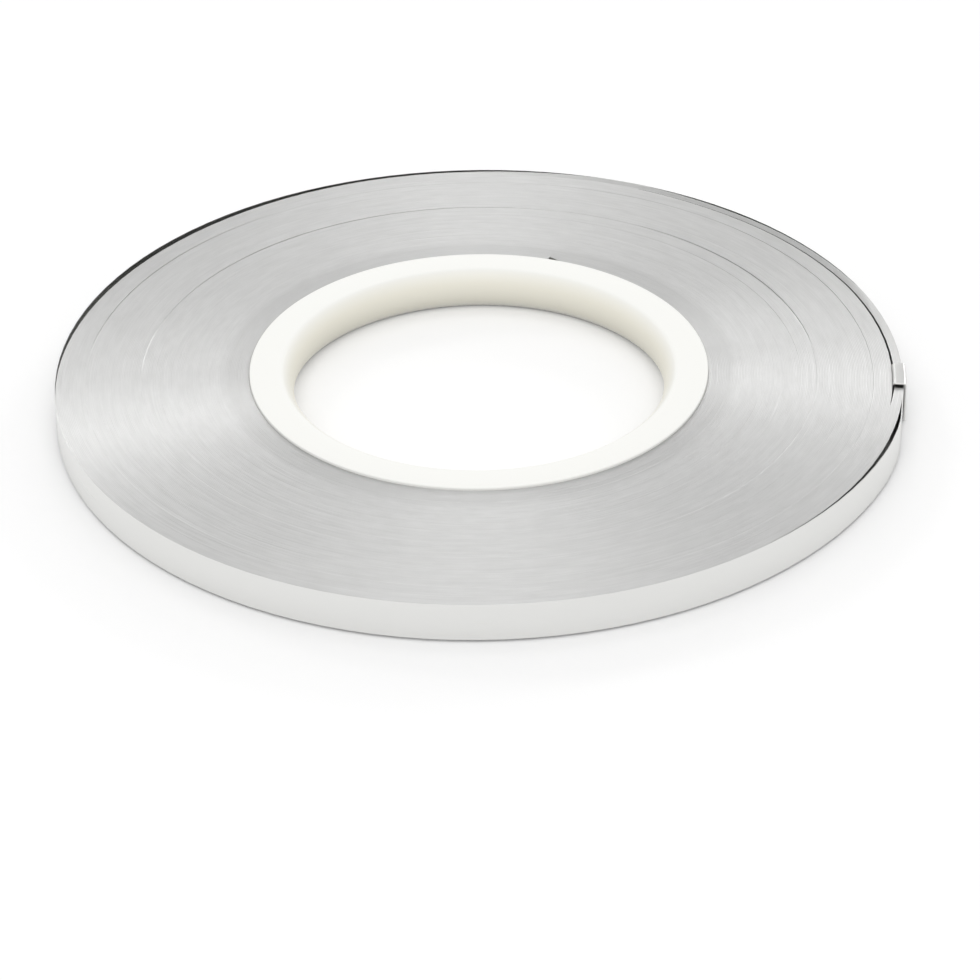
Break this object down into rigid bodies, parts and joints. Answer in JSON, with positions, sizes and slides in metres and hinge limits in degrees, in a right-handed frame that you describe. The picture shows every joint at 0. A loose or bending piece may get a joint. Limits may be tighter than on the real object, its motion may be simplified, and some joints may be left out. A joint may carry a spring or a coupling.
{
  "type": "nickel strip coil",
  "caption": "Flat coil of slit nickel strip, wound edge on edge on a white ring core with a plain bore, its outer end held by a folded clip.",
  "frame": {"origin": "on the coil's axis, in the plane of the core's lower face, on which the coil lies", "axes": "+Z along the coil's axis, upwards as it lies flat; +X towards the side with the end clip, which sits a few degrees on the -Y side of it"},
  "size_m": [0.174, 0.1734, 0.0091],
  "materials": {
    "nickel_strip": "bright rolled nickel faces, satin slit edges",
    "core_plastic": "smooth moulded, ivory white",
    "clip_sheet": "bright rolled nickel sheet, folded"
  },
  "bodies": {
    "root": {"strip_coil": "nickel_strip", "core": "core_plastic", "end_clip": "clip_sheet"}
  },
  "joints": []
}
